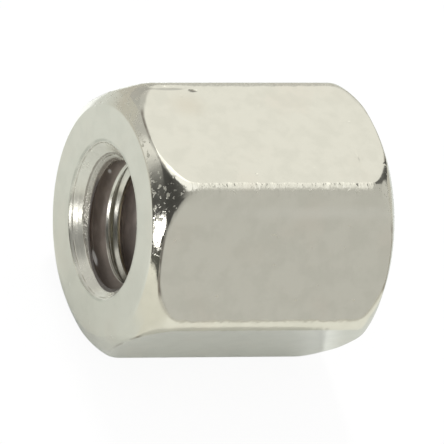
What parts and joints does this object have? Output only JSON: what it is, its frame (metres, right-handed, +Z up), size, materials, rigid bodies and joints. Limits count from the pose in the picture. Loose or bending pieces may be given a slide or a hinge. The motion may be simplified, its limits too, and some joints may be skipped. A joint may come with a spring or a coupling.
{
  "type": "jack screw body",
  "caption": "Short hexagonal jack screw body with chamfered and crowned ends and a fine thread right through, countersunk at both mouths.",
  "frame": {"origin": "under the middle of the body, on the flat that it lies on", "axes": "+X along the thread, away from the mouth that the picture shows; +Z up, square to the flat that it lies on; +Y across two of the long edges"},
  "size_m": [0.005, 0.0054, 0.0048],
  "materials": {
    "nickel_plate": "bright nickel plate over drawn bar, slightly warm, with fine handling marks"
  },
  "bodies": {
    "root": {"jack_screw_body": "nickel_plate"}
  },
  "joints": []
}
